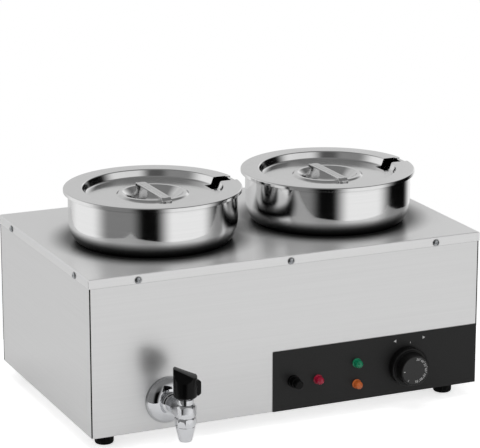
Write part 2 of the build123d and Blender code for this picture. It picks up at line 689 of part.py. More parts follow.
def capillary_bulb():
    """Thermostat's capillary tube and sensing bulb, through the tank's front wall."""
    y = -PANEL_Y + 30
    path = FilletPolyline((DIAL_X + 12, y, BULB_Z), (DIAL_X + 12, y + 10, BULB_Z), (BULB_PORT_X, y + 10, BULB_Z),
                          (BULB_PORT_X, BULB_Y, BULB_Z), (BULB_PORT_X - 14, BULB_Y, BULB_Z), radius=5)
    section = Plane(origin=path @ 0, z_dir=path % 0) * Circle(1.0)
    tube = sweep(section, path=path)
    bulb_end = BULB_PORT_X - 13
    return tube + bar_x(BULB_Y, BULB_Z, bulb_end - BULB_L, bulb_end, BULB_R)


def capillary_nut():
    """Bulkhead nut that seals the capillary in the tank's front wall."""
    body = turned([(1.05, -4), (7.5, -4), (7.5, -1), (5.0, -1), (5.0, 4), (1.05, 4)])
    body += hexagon(13, 4) - Cylinder(4, 12)
    return facing_front(body, BULB_PORT_X, TANK_FRONT, BULB_Z)


def bulb_clip():
    """Two wire-bracket posts on the tank's front wall that hold the bulb."""
    y = TANK_FRONT + TANK_T
    out = []
    for x in (BULB_PORT_X - 74, BULB_PORT_X - 30):
        arm = block(x - 3, x + 3, y, y + 21, BULB_Z - 4.2, BULB_Z + 4.2)
        out.append(arm - bar_x(BULB_Y, BULB_Z, x - 5, x + 5, BULB_R + RUN_GAP))
    return group(out)


def reset_switch():
    """Manual-reset cut-out behind the panel, with its threaded bush through the plate."""
    y = -CONTROL_FACE
    body = bar_y(RESET_X, RESET_Z, y - 8, -PANEL_Y + 3, BUSH_R)
    body += bar_y(RESET_X, RESET_Z, -PANEL_Y, -PANEL_Y + 22, 10.0)
    for x in (-5.0, 5.0):
        body += block(RESET_X + x - 0.4, RESET_X + x + 0.4, -PANEL_Y + 22, -PANEL_Y + 30, RESET_Z - 3, RESET_Z + 3)
    body -= bar_y(RESET_X, RESET_Z, y - 9, -PANEL_Y + 16, 2.05)
    return body


def reset_lock_nut():
    """Round black nut that clamps the cut-out's bush."""
    ring = turned([(BUSH_R, 0), (8.5, 0), (8.5, 4.0), (7.9, 4.6), (BUSH_R, 4.6)])
    return facing_front(ring, RESET_X, -CONTROL_FACE, RESET_Z)


def reset_button():
    """Push pin inside the bush."""
    y = -CONTROL_FACE
    return bar_y(RESET_X, RESET_Z, y - 10.5, -PANEL_Y + 12, 2.0)


def reset_cap():
    """Screw cap over the bush, ribbed at its foot."""
    cap = turned([(BUSH_R + 0.08, 5.0), (7.2, 5.0), (7.2, 11.5), (6.3, 13), (6.0, 20.5), (5.0, 21.5), (0, 21.5),
                  (0, 16), (BUSH_R + 0.08, 16)])
    return facing_front(cap, RESET_X, -CONTROL_FACE, RESET_Z)


def lamp_lens(place):
    """Coloured lens: domed cap with a thin flange, its neck through the panel."""
    x, z = place
    neck = LENS_NECK_R
    rim = LENS_R
    dome = LENS_DOME_R
    dome_foot = 7.2
    lens = spun(
        Line((0, 0, -CONTROL_T), (neck, 0, -CONTROL_T)),
        Line((neck, 0, -CONTROL_T), (neck, 0, 0)),
        Line((neck, 0, 0), (rim, 0, 0)),
        Line((rim, 0, 0), (rim, 0, 1.2)),
        Line((rim, 0, 1.2), (dome + 0.2, 0, 1.8)),
        Line((dome + 0.2, 0, 1.8), (dome, 0, dome_foot)),
        cap_arc(dome, dome_foot, LENS_L),
        Line((0, 0, LENS_L), (0, 0, -CONTROL_T)),
    )
    return facing_front(lens, x, -CONTROL_FACE, z)


def lamp_holders():
    """Round lamp bodies behind the panel, each with two spade terminals."""
    out = []
    for x, z in LAMPS.values():
        holder = bar_y(x, z, -PANEL_Y, -PANEL_Y + 24, 7.5)
        for dx in (-3.5, 3.5):
            holder += block(x + dx - 0.4, x + dx + 0.4, -PANEL_Y + 24, -PANEL_Y + 31, z - 2.4, z + 2.4)
        out.append(holder)
    return group(out)


def terminal_block():
    """Mains terminal block on the base plate, with three wells on each side."""
    body = block(BLOCK_X - 30, BLOCK_X + 30, BLOCK_Y - 11, BLOCK_Y + 11, PANEL_FOOT_Z, PANEL_FOOT_Z + 16)
    for i in (-1, 0, 1):
        x = BLOCK_X + BLOCK_PITCH * i
        body -= block(x - 7, x + 7, BLOCK_Y - 12, BLOCK_Y - 5, PANEL_FOOT_Z + 5, PANEL_FOOT_Z + 17)
        body -= block(x - 7, x + 7, BLOCK_Y + 5, BLOCK_Y + 12, PANEL_FOOT_Z + 5, PANEL_FOOT_Z + 17)
    return body


def terminal_screws():
    """Clamp screws standing in the block's wells."""
    screw = Pos(0, 0, PANEL_FOOT_Z + 8) * pan_head_screw(2.6, 2.0, 1.6, 3)
    return group(Pos(BLOCK_X + BLOCK_PITCH * i, BLOCK_Y + 8.2 * j, 0) * screw for i in (-1, 0, 1) for j in (-1, 1))


def earth_stud():
    """Earth stud through the base plate with its nut and washer."""
    stud = post(EARTH_X, EARTH_Y, FLOOR_Z - 4, PANEL_FOOT_Z + 12, EARTH_R)
    stud += Pos(EARTH_X, EARTH_Y, PANEL_FOOT_Z) * hexagon(8, 4)
    return stud + post(EARTH_X, EARTH_Y, FLOOR_Z - 1, FLOOR_Z, 5.0)


def cable_gland():
    """Gland body: hexagon outside, thread through the back panel and inside."""
    body = facing_back(hexagon(24, 5), GLAND_X, PANEL_Y, GLAND_Z)
    body += bar_y(GLAND_X, GLAND_Z, PANEL_Y - 12, PANEL_Y, GLAND_THREAD_R)
    body += bar_y(GLAND_X, GLAND_Z, PANEL_Y, PANEL_Y + 9, 9.0)
    return body - bar_y(GLAND_X, GLAND_Z, PANEL_Y - 14, PANEL_Y + 12, CORD_R)


def gland_dome_nut():
    """Domed clamping nut with six flats, round the cord's way out."""
    reach = GLAND_REACH
    shell = spun(
        Line((CORD_R, 0, reach), (7.6, 0, reach)),
        ThreePointArc((7.6, 0, reach), (10.2, 0, reach - 3.4), (11.6, 0, reach - 7.5)),
        Line((11.6, 0, reach - 7.5), (11.6, 0, 5)),
        Line((11.6, 0, 5), (9.05, 0, 5)),
        Line((9.05, 0, 5), (9.05, 0, 14)),
        Line((9.05, 0, 14), (CORD_R, 0, reach - 3)),
        Line((CORD_R, 0, reach - 3), (CORD_R, 0, reach)),
    )
    nut = facing_back(shell, GLAND_X, PANEL_Y, GLAND_Z)
    return nut & facing_back(hexagon(22, reach + 1), GLAND_X, PANEL_Y, GLAND_Z)


def gland_seal():
    """Rubber cone squeezed round the cord."""
    ring = turned([(CORD_R, 9), (8.9, 9), (8.9, 13.9), (CORD_R, 18.8)])
    return facing_back(ring, GLAND_X, PANEL_Y, GLAND_Z)


def gland_lock_nut():
    """Flat nut inside the back panel."""
    nut = hexagon(25, 4) - Cylinder(GLAND_THREAD_R, 20)
    return facing_front(nut, GLAND_X, PANEL_Y - PANEL_T, GLAND_Z)


PIECES = {
    "deck": deck,
    "deck_screws": deck_screws,
    "front_panel": front_panel,
    "back_panel": back_panel,
    "side_panel_left": lambda: side_panel(-1),
    "side_panel_right": lambda: side_panel(1),
    "base_plate": base_plate,
    "base_screws": base_screws,
    "feet": feet,
    "foot_screws": foot_screws,
    "foot_nuts": foot_nuts,
    "water_tank": water_tank,
    "heating_element": heating_element,
    "element_nuts": element_nuts,
    "level_probe": level_probe,
    "pot_left": lambda: Pos(-POT_X, POT_Y, 0) * pot_wall(),
    "pot_right": lambda: Pos(POT_X, POT_Y, 0) * pot_wall(),
    "pot_left_well": lambda: Pos(-POT_X, POT_Y, 0) * pot_well(),
    "pot_right_well": lambda: Pos(POT_X, POT_Y, 0) * pot_well(),
    "pot_left_base": lambda: Pos(-POT_X, POT_Y, 0) * pot_base(),
    "pot_right_base": lambda: Pos(POT_X, POT_Y, 0) * pot_base(),
    "lid_left": lambda: Pos(-POT_X, POT_Y, 0) * lid(),
    "lid_right": lambda: Pos(POT_X, POT_Y, 0) * lid(),
    "lid_handle_left": lambda: Pos(-POT_X, POT_Y, 0) * lid_handle(),
    "lid_handle_right": lambda: Pos(POT_X, POT_Y, 0) * lid_handle(),
    "tap_escutcheon": tap_escutcheon,
    "tap_body": tap_body,
    "tap_bonnet": tap_bonnet,
    "tap_plug": tap_plug,
    "tap_knob": tap_knob,
    "tap_gasket": tap_gasket,
    "tap_lock_nut": tap_lock_nut,
    "drain_socket": drain_socket,
    "control_panel": control_panel,
    "thermostat_body": thermostat_body,
    "thermostat_screws": thermostat_screws,
    "thermostat_shaft": thermostat_shaft,
    "thermostat_dial": thermostat_dial,
    "capillary_bulb": capillary_bulb,
    "capillary_nut": capillary_nut,
    "bulb_clip": bulb_clip,
    "reset_switch": reset_switch,
    "reset_lock_nut": reset_lock_nut,
    "reset_button": reset_button,
    "reset_cap": reset_cap,
    "lamp_green": lambda: lamp_lens(LAMPS["lamp_green"]),
    "lamp_red": lambda: lamp_lens(LAMPS["lamp_red"]),
    "lamp_orange": lambda: lamp_lens(LAMPS["lamp_orange"]),
    "lamp_holders": lamp_holders,
    "terminal_block": terminal_block,
    "terminal_screws": terminal_screws,
    "earth_stud": earth_stud,
    "cable_gland": cable_gland,
    "gland_dome_nut": gland_dome_nut,
    "gland_seal": gland_seal,
    "gland_lock_nut": gland_lock_nut,
}

os.makedirs("parts", exist_ok=True)
for name, make in PIECES.items():
    write(name, make())
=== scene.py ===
from math import atan2, cos, degrees, pi, radians, sin, tan

import bpy
from mathutils import Matrix, Vector


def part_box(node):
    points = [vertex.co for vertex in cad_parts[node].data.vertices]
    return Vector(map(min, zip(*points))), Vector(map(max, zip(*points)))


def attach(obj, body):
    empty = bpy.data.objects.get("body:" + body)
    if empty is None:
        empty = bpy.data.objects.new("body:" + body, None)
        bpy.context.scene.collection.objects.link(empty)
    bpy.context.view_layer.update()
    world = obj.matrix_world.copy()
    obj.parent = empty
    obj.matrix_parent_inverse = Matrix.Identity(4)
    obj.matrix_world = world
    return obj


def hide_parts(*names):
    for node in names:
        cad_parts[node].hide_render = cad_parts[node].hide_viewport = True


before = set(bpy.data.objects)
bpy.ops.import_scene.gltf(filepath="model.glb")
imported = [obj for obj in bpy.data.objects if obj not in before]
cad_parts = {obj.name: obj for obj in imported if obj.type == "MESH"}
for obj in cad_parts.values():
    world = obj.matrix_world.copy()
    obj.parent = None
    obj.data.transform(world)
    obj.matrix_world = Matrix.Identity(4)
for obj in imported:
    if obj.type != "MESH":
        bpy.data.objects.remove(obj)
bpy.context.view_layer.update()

# A two-pot soup warmer. The object's lengths are in millimetres, and MM turns them into metres.
# The floor, the lamps and the camera are placed in metres.
MM = 0.001
TO_FRONT = (radians(90), 0, 0)
TO_BACK = (radians(-90), 0, 0)
CAMERA_HEADING = 0.42122  # radians that the camera stands to the left of the front
CAMERA_TILT = 0.26564  # radians that the camera looks down
SHEET_T = 1.0
POT_WALL_R = 117
POT_WELL_R = 100
POT_DEPTH = 132
POT_SHOULDER_R = 49

DECK_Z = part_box("deck")[1].z / MM
LID_TOP = 72.0
LID_PLATE = LID_TOP - 10.5
LID_RECESS_R = 97.0
LID_R = 123.1
NOTCH_W = 25.0
NOTCH_START = 83.0
RIM_TOP = 70.6
BEAD_R = 2.4
BEAD_MIDDLE_R = 118.8


# Modelling helpers: a primitive, shaped in edit mode

def active(piece):
    """Makes one piece the only selected one."""
    if bpy.context.object and bpy.context.object.mode != "OBJECT":
        bpy.ops.object.mode_set(mode="OBJECT")
    bpy.ops.object.select_all(action="DESELECT")
    piece.select_set(True)
    bpy.context.view_layer.objects.active = piece


def started(name, kind, **sizes):
    """Adds a primitive with nothing else selected, and names it."""
    bpy.ops.object.select_all(action="DESELECT")
    getattr(bpy.ops.mesh, f"primitive_{kind}_add")(**sizes)
    piece = bpy.context.object
    piece.name = name
    return piece


def softened(corners, step=9):
    """Points along a path of (r, z, radius) corners, each radius drawn as an arc."""
    points = []
    for i, (r, z, radius) in enumerate(corners):
        here = Vector((r, z))
        if not radius:
            points.append(here)
            continue
        back = (Vector(corners[i - 1][:2]) - here).normalized()
        on = (Vector(corners[(i + 1) % len(corners)][:2]) - here).normalized()
        half = back.angle(on) / 2
        centre = here + (back + on).normalized() * (radius / sin(half))
        arm = here + back * (radius / tan(half)) - centre
        turn = pi - 2 * half
        if back.x * on.y - back.y * on.x > 0:
            turn = -turn
        count = max(2, round(abs(degrees(turn)) / step))
        for k in range(count + 1):
            points.append(centre + Matrix.Rotation(turn * k / count, 2) @ arm)
    return points


def both_faces(points, thickness):
    """A closed outline: the path, and its parallel on the right-hand side, back to the start."""
    inner = []
    last = len(points) - 1
    for i, here in enumerate(points):
        before = here - points[max(i - 1, 0)]
        after = points[min(i + 1, last)] - here
        along = before.normalized() + after.normalized()
        side = Vector((along.y, -along.x)).normalized()
        lean = max(side.dot(Vector((after.y, -after.x)).normalized() if after.length else side), 0.3)
        inner.append(here + side * (thickness / lean))
    if points[0].x == 0:
        inner[0].x = 0
    if points[-1].x == 0:
        inner[-1].x = 0
    return list(points) + inner[::-1]


def turned(name, points, steps=128, closed=True):
    """A lathe-turned piece about Z: a vertex is extruded along the outline and the chain is spun."""
    points = [Vector(p[:2]) for p in points]
    if closed:
        points.append(points[0])
    piece = started(name, "plane", size=MM)
    bpy.ops.object.mode_set(mode="EDIT")
    bpy.ops.mesh.merge(type="CENTER")
    bpy.ops.transform.translate(value=(points[0].x * MM, 0, points[0].y * MM))
    for a, b in zip(points, points[1:]):
        step = ((b.x - a.x) * MM, 0, (b.y - a.y) * MM)
        bpy.ops.mesh.extrude_vertices_move(TRANSFORM_OT_translate={"value": step})
    bpy.ops.mesh.select_all(action="SELECT")
    bpy.ops.mesh.spin(steps=steps, angle=2 * pi, center=(0, 0, 0), axis=(0, 0, 1))
    bpy.ops.mesh.select_all(action="SELECT")
    bpy.ops.mesh.remove_doubles(threshold=2e-6)
    bpy.ops.mesh.normals_make_consistent(inside=False)
    bpy.ops.object.mode_set(mode="OBJECT")
    return piece


def prism(name, sides, across_flats, z0, z1):
    """An upright bar with that many flats, one of them facing the front."""
    radius = across_flats / 2 / cos(pi / sides)
    piece = started(name, "cylinder", vertices=sides, radius=radius * MM, depth=(z1 - z0) * MM,
                    location=(0, 0, (z0 + z1) / 2 * MM), rotation=(0, 0, pi / sides))
    settled(piece)
    return piece


def block(name, size, at=(0, 0, 0)):
    """A rectangular bar by its size and its middle."""
    piece = started(name, "cube", size=MM, location=Vector(at) * MM)
    piece.scale = size
    settled(piece)
    return piece


def settled(piece, at=None, turn=None):
    """Puts a piece in its place and leaves that place in its mesh."""
    active(piece)
    if turn is not None:
        piece.rotation_euler = turn
    if at is not None:
        piece.location = Vector(at) * MM
    bpy.ops.object.transform_apply(location=True, rotation=True, scale=True)
    return piece


def modified(piece, kind, **settings):
    """Adds a modifier with its settings and applies it."""
    active(piece)
    modifier = piece.modifiers.new(kind.title(), kind)
    for key, value in settings.items():
        setattr(modifier, key, value)
    bpy.ops.object.modifier_apply(modifier=modifier.name)
    return piece


def cut(piece, tool, operation="DIFFERENCE"):
    """Cuts, joins or keeps what a piece shares with a tool, and removes the tool."""
    modified(piece, "BOOLEAN", object=tool, operation=operation, solver="EXACT")
    bpy.data.objects.remove(tool)
    return piece


def rounded(piece, width, segments=2, limit=30):
    """Rounds the edges that are sharper than the limit."""
    return modified(piece, "BEVEL", width=width * MM, segments=segments, limit_method="ANGLE",
                    angle_limit=radians(limit), harden_normals=False)


def shaded(piece, angle=32):
    """Smooth shading, with edges over the angle left crisp."""
    active(piece)
    bpy.ops.object.shade_smooth_by_angle(angle=radians(angle))
    return piece


def joined(name, pieces):
    """Several meshes as one piece."""
    active(pieces[0])
    for piece in pieces[1:]:
        piece.select_set(True)
    bpy.ops.object.join()
    pieces[0].name = name
    return pieces[0]


def copied(piece, name, by=(0, 0, 0)):
    """A copy with its own mesh, moved by millimetres."""
    active(piece)
    bpy.ops.object.duplicate()
    twin = bpy.context.object
    twin.name = name
    return settled(twin, at=by)


def finished(piece, body, slot, finish, *nodes):
    """Gives a piece its finish and its body, and hides the nodes it stands for. The slot is not used."""
    piece.data.materials.clear()
    piece.data.materials.append(finish)
    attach(piece, body)
    if nodes:
        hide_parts(*nodes)
    return piece


def middle(node):
    """The middle of a CAD node's box."""
    low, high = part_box(node)
    return (low + high) / 2 / MM


# Materials

def colour(code):
    """An sRGB hex colour as linear RGBA."""
    parts = [int(code[i:i + 2], 16) / 255 for i in (1, 3, 5)]
    linear = [c / 12.92 if c <= 0.04045 else ((c + 0.055) / 1.055) ** 2.4 for c in parts]
    return (*linear, 1.0)


def add(tree, kind, inputs=None, **settings):
    """Adds a node with its settings. An input is a value, or the output of another node."""
    node = tree.nodes.new(kind)
    for key, value in settings.items():
        setattr(node, key, value)
    for key, value in (inputs or {}).items():
        if isinstance(value, bpy.types.NodeSocket):
            tree.links.new(value, node.inputs[key])
        else:
            node.inputs[key].default_value = value
    return node


def blank(name):
    """An empty material with its Principled shader and the piece's own coordinates."""
    finish = bpy.data.materials.new(name)
    finish.use_nodes = True
    tree = finish.node_tree
    tree.nodes.clear()
    out = add(tree, "ShaderNodeOutputMaterial")
    shader = add(tree, "ShaderNodeBsdfPrincipled")
    tree.links.new(shader.outputs["BSDF"], out.inputs["Surface"])
    place = add(tree, "ShaderNodeTexCoord").outputs["Object"]
    return finish, tree, shader, place


def speckled(tree, place, stretch, detail):
    """Noise with so many grains a metre along X, Y and Z, and the same noise stretched to run from 0 to 1."""
    grain = add(tree, "ShaderNodeMapping", {"Vector": place, "Scale": stretch})
    noise = add(tree, "ShaderNodeTexNoise", {"Vector": grain.outputs["Vector"], "Scale": 1.0,
                                             "Detail": detail})
    span = add(tree, "ShaderNodeMapRange", {"Value": noise.outputs["Fac"], "From Min": 0.3, "From Max": 0.7})
    return noise.outputs["Fac"], span.outputs["Result"]


def metal(name, dark, light, rough, stretch, depth, spread=0.06, crevice=None, polish=1.0):
    """Metal whose grain is drawn by stretched noise: tone, roughness and a shallow relief follow it.

    A crevice shade (reach in millimetres, closed, open) is painted shade: it darkens the base colour where
    other surfaces within that reach close the metal in. A satin surface has less polish: part of its light is
    scattered evenly."""
    finish, tree, shader, place = blank(name)
    raw, span = speckled(tree, place, stretch, 3.0)
    mix = add(tree, "ShaderNodeMix", {"Factor": span, 6: colour(dark), 7: colour(light)}, data_type="RGBA")
    tone = mix.outputs[2]
    if crevice:
        reach, closed, free = crevice
        # Painted shade: ambient occlusion darkens the base colour where other surfaces close the metal in.
        near = add(tree, "ShaderNodeAmbientOcclusion", {"Distance": reach * MM}, samples=16)
        open_part = add(tree, "ShaderNodeMapRange", {"Value": near.outputs["AO"], "From Min": closed,
                                                     "From Max": free, "To Min": 0.05})
        dimmed = add(tree, "ShaderNodeMix", {"Factor": open_part.outputs["Result"], 6: (0, 0, 0, 1), 7: tone},
                     data_type="RGBA")
        tone = dimmed.outputs[2]
    tree.links.new(tone, shader.inputs["Base Color"])
    haze = add(tree, "ShaderNodeMapRange", {"Value": raw, "From Min": 0.3, "From Max": 0.7,
                                            "To Min": rough - spread / 2, "To Max": rough + spread / 2})
    tree.links.new(haze.outputs["Result"], shader.inputs["Roughness"])
    shader.inputs["Metallic"].default_value = polish
    relief = add(tree, "ShaderNodeBump", {"Height": raw, "Strength": 0.25, "Distance": depth * MM})
    tree.links.new(relief.outputs["Normal"], shader.inputs["Normal"])
    return finish


def moulded(name, dark, light, rough, grain, depth, shine=0.5):
    """Plastic, rubber or paint: even fine grains, in relief and in a slight change of tone."""
    finish, tree, shader, place = blank(name)
    raw, span = speckled(tree, place, (grain, grain, grain), 2.0)
    mix = add(tree, "ShaderNodeMix", {"Factor": span, 6: colour(dark), 7: colour(light)}, data_type="RGBA")
    tree.links.new(mix.outputs[2], shader.inputs["Base Color"])
    haze = add(tree, "ShaderNodeMapRange", {"Value": raw, "From Min": 0.3, "From Max": 0.7,
                                            "To Min": rough - 0.04, "To Max": rough + 0.04})
    tree.links.new(haze.outputs["Result"], shader.inputs["Roughness"])
    shader.inputs["Specular IOR Level"].default_value = shine
    relief = add(tree, "ShaderNodeBump", {"Height": raw, "Strength": 0.3, "Distance": depth * MM})
    tree.links.new(relief.outputs["Normal"], shader.inputs["Normal"])
    return finish


# Stainless sheet, belt-brushed along its length. The streaks are about 2 mm wide, coarser than real ones, so
# that they show.
# Painted shade: the panel's crevice shade darkens it just under the deck's skirt and in its corners.
BRUSHED_PANEL = metal("brushed_stainless_panel", "#dcdcdc", "#dfdfdf", 0.30, (4, 4, 420), 0.001, spread=0.02,
                      crevice=(6, 0.3, 0.85), polish=0.85)
# Painted shade: the deck's crevice shade darkens it in a ring around each pot and beside the other parts on
# it.
BRUSHED_DECK = metal("brushed_stainless_deck", "#eaeaea", "#ededed", 0.30, (4, 420, 420), 0.001, spread=0.02,
                     crevice=(40, 0.55, 0.95), polish=0.6)
# Deep-drawn and buffed stainless: faint rings from the buffing wheel, nearly a mirror.
# Painted shade: the pot's crevice shade darkens its lower shoulder and foot, where it comes close to the
# deck.
BUFFED_POT = metal("buffed_stainless_pot", "#ebebeb", "#eeeeee", 0.10, (3, 3, 500), 0.001, spread=0.02,
                   crevice=(34, 0.25, 0.8))
# Pressed lid, buffed: even and soft.
SATIN_LID = metal("buffed_stainless_lid", "#e6e6e6", "#e9e9e9", 0.13, (120, 120, 120), 0.001, spread=0.02)
SATIN_STRAP = metal("satin_stainless_strap", "#dadada", "#e0e0e0", 0.16, (300, 20, 300), 0.003)
SATIN_TANK = metal("pickled_stainless_tank", "#c0c0c0", "#d0d0d0", 0.32, (60, 60, 60), 0.03)
# Chromium plate over polished brass: a mirror with slight waves.
CHROME = metal("chrome_plate", "#d8d9dc", "#dedfe1", 0.06, (40, 40, 40), 0.003, spread=0.02)
BRASS = metal("turned_brass", "#b9954d", "#cdaa62", 0.28, (30, 30, 600), 0.02)
ZINC = metal("zinc_plated_steel", "#a4a7aa", "#b6b8ba", 0.3, (300, 300, 300), 0.02)
ELEMENT = metal("heat_tinted_stainless", "#6e655c", "#8a8078", 0.38, (90, 90, 90), 0.03)
# Powder coat on steel sheet: orange peel, about 2 mm a grain.
PANEL_BLACK = moulded("satin_black_powder_coat", "#1e1e1e", "#232323", 0.42, 500, 0.01, shine=0.25)
KNOB_BLACK = moulded("glossy_black_phenolic", "#050505", "#080808", 0.2, 90, 0.005, shine=0.14)
DIAL_BLACK = moulded("black_abs_moulding", "#0a0a0a", "#0f0f0f", 0.32, 700, 0.01, shine=0.25)
DIAL_FACE = moulded("printed_dial_face", "#343434", "#3a3a3a", 0.45, 700, 0.01, shine=0.25)
RUBBER = moulded("moulded_black_rubber", "#060606", "#0c0c0c", 0.62, 500, 0.03, shine=0.12)
CERAMIC = moulded("cream_phenolic", "#cfc8b6", "#ded8c8", 0.4, 400, 0.01)
INK = moulded("screen_printed_ink", "#c9c9c9", "#d6d6d6", 0.5, 900, 0.005)


def tinted_lens(name, dark, light):
    """Moulded tinted acrylic: clear enough to look deep, with a polished skin."""
    finish, tree, shader, place = blank(name)
    span = speckled(tree, place, (260, 260, 260), 1.0)[1]
    mix = add(tree, "ShaderNodeMix", {"Factor": span, 6: colour(dark), 7: colour(light)}, data_type="RGBA")
    tree.links.new(mix.outputs[2], shader.inputs["Base Color"])
    shader.inputs["Roughness"].default_value = 0.18
    shader.inputs["Transmission Weight"].default_value = 0.25
    shader.inputs["IOR"].default_value = 1.49
    return finish


GREEN_LENS = tinted_lens("green_acrylic_lens", "#0f7d56", "#1c9a6e")
RED_LENS = tinted_lens("red_acrylic_lens", "#a01233", "#b61f41")
ORANGE_LENS = tinted_lens("orange_acrylic_lens", "#d2642a", "#e27b3e")


# Pots and lids

def pot_shell(side):
    """Deep-drawn pot: rolled rim, upright wall, wide shoulder and narrower well."""
    slope = radians(44)
    shoulder_z = 29 - POT_SHOULDER_R * tan(slope / 2)
    well_z = shoulder_z - (POT_WALL_R - POT_WELL_R) / tan(slope)
    path = softened([(BEAD_MIDDLE_R, RIM_TOP - 1, 0), (POT_WALL_R, RIM_TOP - 1, 1.2),
                     (POT_WALL_R, shoulder_z, POT_SHOULDER_R), (POT_WELL_R, well_z, 5),
                     (POT_WELL_R, -POT_DEPTH, 30), (0, -POT_DEPTH, 0)], step=6)
    shell = turned(f"pot_{side}_pressed", both_faces(path, SHEET_T), steps=160)
    bead = started("bead", "torus", major_radius=BEAD_MIDDLE_R * MM, minor_radius=BEAD_R * MM,
                   major_segments=160, minor_segments=20, location=(0, 0, (RIM_TOP - BEAD_R) * MM))
    settled(bead)
    shell = joined(f"pot_{side}_pressed", [shell, bead])
    at = middle(f"pot_{side}")
    settled(shell, at=(at.x, at.y, DECK_Z))
    shaded(shell, 40)
    return finished(shell, f"{side}_pot", "stainless_polished", BUFFED_POT,
                    f"pot_{side}", f"pot_{side}_well", f"pot_{side}_base")


def lid_shell(side):
    """Pressed lid: centre dish, ridge, plate, recess wall, flange and lip, with the ladle's notch cut out."""
    plate = LID_PLATE
    sink = plate - 14
    crown = plate + 2.4
    path = softened([(0, sink, 0), (24, sink, 35), (42.5, crown, 1.6), (47, crown, 1.6), (50, plate, 1.6),
                     (93, plate, 3), (LID_RECESS_R, LID_TOP, 2.4), (LID_R, LID_TOP, 1.8),
                     (LID_R, LID_TOP - 5, 0)], step=6)
    lid = turned(f"lid_{side}_pressed", both_faces(path, SHEET_T), steps=160)
    reach = LID_R + 5 - NOTCH_START
    notch = block("notch", (reach, NOTCH_W, 25), (NOTCH_START + reach / 2, 0, plate + 6))
    cut(lid, notch)
    at = middle(f"lid_{side}")
    settled(lid, at=(at.x, at.y, DECK_Z))
    shaded(lid, 40)
    return finished(lid, f"{side}_lid", "stainless_satin", SATIN_LID, f"lid_{side}")


def strap(side):
    """Flat strap handle: a plate with round ends, bent up over the dish and grooved along its middle."""
    piece = started(f"lid_handle_{side}_strap", "plane", size=MM)
    piece.scale = (14, 110, 1)
    settled(piece)
    bpy.ops.object.mode_set(mode="EDIT")
    bpy.ops.mesh.select_all(action="SELECT")
    bpy.ops.mesh.bevel(offset=5 * MM, segments=6, affect="VERTICES")
    cuts = [((0, y * MM, 0), (0, 1, 0)) for y in (-52.5, -49.5, -46.8, -43, -40, 40, 43, 46.8, 49.5, 52.5)]
    cuts += [((x * MM, 0, 0), (1, 0, 0)) for x in (-3.4, -2.2, 2.2, 3.4)]
    for place, along in cuts:
        bpy.ops.mesh.select_all(action="SELECT")
        bpy.ops.mesh.bisect(plane_co=place, plane_no=along)
    bpy.ops.object.mode_set(mode="OBJECT")

    def lift(test, height):
        for v in piece.data.vertices:
            v.select = test(v.co / MM)
        for e in piece.data.edges:
            e.select = all(piece.data.vertices[i].select for i in e.vertices)
        for p in piece.data.polygons:
            p.select = all(piece.data.vertices[i].select for i in p.vertices)
        bpy.ops.object.mode_set(mode="EDIT")
        bpy.ops.mesh.select_mode(type="VERT")
        bpy.ops.transform.translate(value=(0, 0, height * MM))
        bpy.ops.object.mode_set(mode="OBJECT")

    lift(lambda c: abs(c.y) < 50, 1.2)
    lift(lambda c: abs(c.y) < 47, 2.4)
    lift(lambda c: abs(c.y) < 44 and abs(c.x) < 2.5, -0.7)
    bpy.ops.object.mode_set(mode="EDIT")
    bpy.ops.mesh.select_all(action="SELECT")
    bpy.ops.mesh.normals_make_consistent(inside=False)
    bpy.ops.object.mode_set(mode="OBJECT")
    up = sum(p.normal.z for p in piece.data.polygons) > 0
    modified(piece, "SOLIDIFY", thickness=1.8 * MM, offset=1 if up else -1)
    rounded(piece, 0.5, 3, 40)
    at = middle(f"lid_handle_{side}")
    settled(piece, at=(at.x, at.y, DECK_Z + LID_PLATE))
    shaded(piece, 35)
    return finished(piece, f"{side}_lid", "stainless_satin", SATIN_STRAP, f"lid_handle_{side}")


for side in ("left", "right"):
    pot_shell(side)
    lid_shell(side)
    strap(side)


# Drain tap

TAP = middle("tap_plug")
ESCUTCHEON_R = 31.75
ESCUTCHEON_H = 13.0
TAP_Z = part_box("tap_escutcheon")[0].z / MM + ESCUTCHEON_R
PANEL_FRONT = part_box("tap_escutcheon")[1].y / MM
TAP_FRONT_Y = PANEL_FRONT - ESCUTCHEON_H - TAP.y


def arc_through(a, b, c, count=14):
    """Points on the circle through three points, from the first to the last."""
    a, b, c = Vector(a), Vector(b), Vector(c)
    d = 2 * (a.x * (b.y - c.y) + b.x * (c.y - a.y) + c.x * (a.y - b.y))
    x = (a.dot(a) * (b.y - c.y) + b.dot(b) * (c.y - a.y) + c.dot(c) * (a.y - b.y)) / d
    y = (a.dot(a) * (c.x - b.x) + b.dot(b) * (a.x - c.x) + c.dot(c) * (b.x - a.x)) / d
    centre = Vector((x, y))
    first = atan2(a.y - y, a.x - x)
    last = atan2(c.y - y, c.x - x)
    radius = (a - centre).length
    turns = [first + (last - first) * k / count for k in range(count + 1)]
    return [centre + radius * Vector((cos(turn), sin(turn))) for turn in turns]


def escutcheon():
    """Spun dome between the tap and the panel."""
    r = ESCUTCHEON_R
    h = ESCUTCHEON_H
    outer = arc_through((r, 1.6), (r * 0.80, h * 0.72), (r * 0.42, h))
    inner = arc_through((r * 0.40, h - 1.6), (r * 0.74, h * 0.66), (r - 1.4, 0))
    dome = turned("tap_escutcheon_dome", [(r, 0)] + outer + [(10.5, h), (10.5, h - 1.6)] + inner, steps=96)
    settled(dome, at=(TAP.x, PANEL_FRONT, TAP_Z), turn=TO_FRONT)
    shaded(dome)
    return finished(dome, "cabinet", "chrome", CHROME, "tap_escutcheon")


